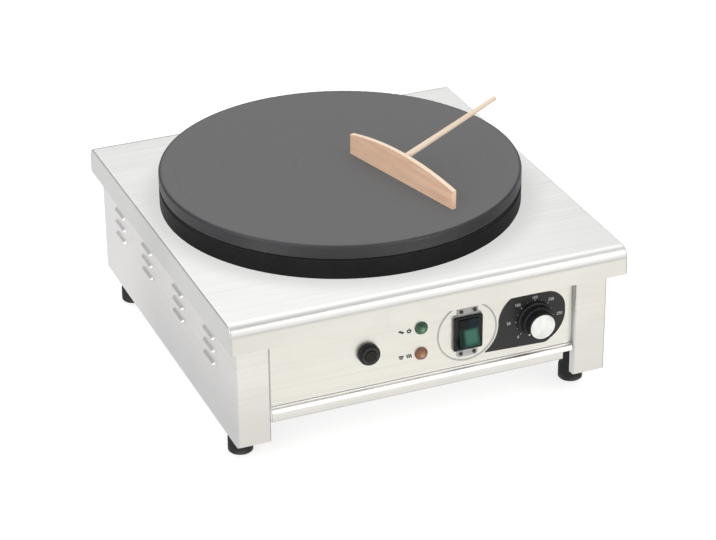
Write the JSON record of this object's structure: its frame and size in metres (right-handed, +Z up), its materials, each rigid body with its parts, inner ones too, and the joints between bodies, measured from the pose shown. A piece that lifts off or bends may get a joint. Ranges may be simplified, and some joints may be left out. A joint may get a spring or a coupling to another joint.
{
  "type": "electric crepe maker",
  "caption": "Countertop electric crepe maker: round cast-iron griddle on a folded steel body with rocker switch, pilot lamps, thermostat knob and a wooden batter spreader.",
  "frame": {"origin": "on the table under the middle of the top panel, at the level of the feet", "axes": "+Z up, -Y to the front where the controls are, +X to the user's right"},
  "size_m": [0.45, 0.4754, 0.2886],
  "materials": {
    "brushed_steel": "satin brushed stainless sheet",
    "screw_steel": "plain zinc and stainless fasteners",
    "foot_rubber": "matt black rubber",
    "griddle_iron": "seasoned fine-turned cast iron",
    "black_enamel": "satin black enamel",
    "galvanised_steel": "galvanised sheet",
    "ceramic_wool": "fibre blanket",
    "element_sheath": "oxidised heater sheath",
    "white_bakelite": "moulded",
    "copper_tube": "drawn copper",
    "black_bakelite": "fine matt moulding",
    "knob_white": "satin white",
    "dial_black": "satin black print on plate",
    "ring_grey": "thin grey line",
    "rocker_green": "translucent green",
    "clear_guard": "clear flexible plastic",
    "lens_green": "translucent green lens",
    "lens_orange": "translucent amber lens",
    "gland_black": "moulded nylon",
    "brass": "plain",
    "wire_silicone": "silicone sleeve",
    "beech": "fine sanded beech"
  },
  "bodies": {
    "body": {"top_panel": "brushed_steel", "left_side_panel": "brushed_steel", "right_side_panel": "brushed_steel", "front_panel": "brushed_steel", "rear_panel": "brushed_steel", "base_pan": "brushed_steel", "rear_screws": "screw_steel", "rubber_feet": "foot_rubber", "foot_screws": "screw_steel", "foot_nuts": "screw_steel", "griddle_plate": "griddle_iron", "plate_skirt": "black_enamel", "heater_pan": "galvanised_steel", "insulation_pad": "ceramic_wool", "element_clamp": "galvanised_steel", "outer_element": "element_sheath", "middle_element": "element_sheath", "inner_element": "element_sheath", "element_terminals": "screw_steel", "plate_studs": "screw_steel", "plate_nuts": "screw_steel", "support_bars": "galvanised_steel", "thermostat_body": "white_bakelite", "thermostat_screws": "screw_steel", "thermostat_bulb": "copper_tube", "dial_plate": "dial_black", "switch_ring": "ring_grey", "switch_frame": "black_bakelite", "switch_housing": "black_bakelite", "switch_guard": "clear_guard", "guard_clips": "black_bakelite", "reset_collar": "black_bakelite", "limiter_body": "white_bakelite", "limiter_bulb": "copper_tube", "reset_spring": "screw_steel", "green_lens": "lens_green", "orange_lens": "lens_orange", "lamp_bodies": "white_bakelite", "lamp_clips": "screw_steel", "gland_body": "gland_black", "gland_dome": "gland_black", "gland_seal": "foot_rubber", "gland_locknut": "gland_black", "earth_stud": "brass", "earth_nuts": "brass", "terminal_block": "white_bakelite", "terminal_screws": "brass", "wiring_loom": "wire_silicone"},
    "knob": {"knob_skirt": "black_bakelite", "knob_cap": "knob_white", "knob_pointer": "knob_white", "thermostat_shaft": "screw_steel"},
    "rocker": {"rocker": "rocker_green"},
    "reset": {"reset_button": "black_bakelite"},
    "spreader": {"spreader_blade": "beech", "spreader_handle": "beech"}
  },
  "joints": [
    {"name": "knob_turn", "type": "hinge", "parent": "body", "child": "knob", "pos_m": [0.13, -0.2202, 0.106], "axis": [0, 1, 0], "range_deg": [0, 270]},
    {"name": "rocker_tilt", "type": "hinge", "parent": "body", "child": "rocker", "pos_m": [0.051, -0.2055, 0.1072], "axis": [1, 0, 0], "range_deg": [0, 18]},
    {"name": "reset_press", "type": "slide", "parent": "body", "child": "reset", "axis": [0, 1, 0], "range_m": [0, 0.003], "stiffness_N_per_m": 300, "springref_m": -0.002, "deforming": ["reset_spring"]},
    {"name": "spreader_lift", "type": "slide", "parent": "body", "child": "spreader", "axis": [0, 0, 1], "range_m": [0, 0.15]}
  ]
}
